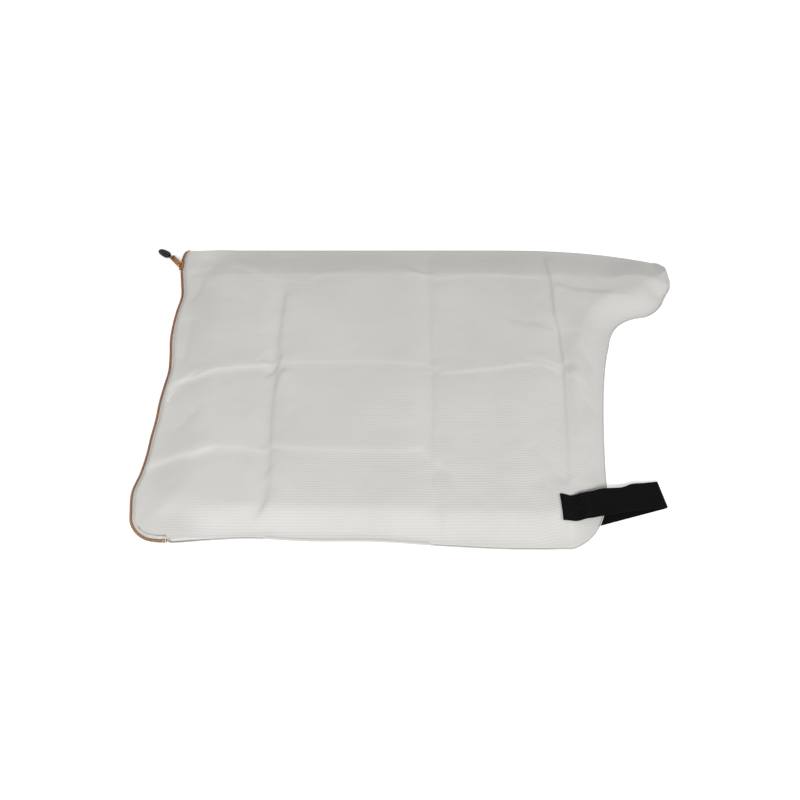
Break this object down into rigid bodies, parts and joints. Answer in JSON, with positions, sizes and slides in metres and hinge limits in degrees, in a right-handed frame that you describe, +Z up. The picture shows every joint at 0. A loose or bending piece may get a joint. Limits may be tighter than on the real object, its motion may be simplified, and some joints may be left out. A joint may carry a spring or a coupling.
{
  "type": "mower grass bag",
  "caption": "Flat-stored fabric grass bag with a gathered side neck, a coil zip down one end with slider and puller, and a webbing carry loop at the opposite lower corner.",
  "frame": {"origin": "middle of the part's outline, on the surface that it lies on", "axes": "+X from the zip end to the neck's mouth, +Y from the sewn near edge to the folded far edge, +Z up"},
  "size_m": [0.8854, 0.549, 0.023],
  "materials": {
    "cloth": "pale grey ribbed polyester cloth",
    "binding": "cream overlocked edge",
    "elastic": "woven elastic band",
    "zip_tape": "beige woven zip tape",
    "zip_coil": "brown nylon coil",
    "zip_metal": "worn copper-coloured die-cast metal",
    "puller_cord": "black braided cord",
    "puller_grip": "black moulded grip",
    "webbing": "black ribbed webbing"
  },
  "bodies": {
    "bag": {"bag_cloth": "cloth", "seam_binding": "binding", "neck_elastic": "elastic", "zip_tape_upper": "zip_tape", "zip_tape_lower": "zip_tape", "zip_coil_upper": "zip_coil", "zip_coil_lower": "zip_coil", "zip_top_stop_upper": "zip_metal", "zip_top_stop_lower": "zip_metal", "zip_bottom_stop": "zip_metal", "carry_strap": "webbing"},
    "slider": {"slider_body": "zip_metal", "slider_bail": "zip_metal"},
    "tab": {"pull_tab": "zip_metal"},
    "puller": {"puller_loop": "puller_cord", "puller_grip": "puller_grip"}
  },
  "joints": [
    {"name": "slider_travel", "type": "slide", "parent": "bag", "child": "slider", "axis": [0, -1, 0], "range_m": [0, 0.36], "deforming": ["zip_coil_upper", "zip_coil_lower", "zip_tape_upper", "zip_tape_lower"]},
    {"name": "tab_swing", "type": "hinge", "parent": "slider", "child": "tab", "pos_m": [-0.39726, 0.23265, 0.01099], "axis": [0.5553, 0.5899, 0.5862], "range_deg": [0, 100]},
    {"name": "puller_swing", "type": "hinge", "parent": "tab", "child": "puller", "pos_m": [-0.41346, 0.25272, 0.00613], "axis": [0.5391, 0.6797, -0.4973], "range_deg": [0, 80]}
  ]
}
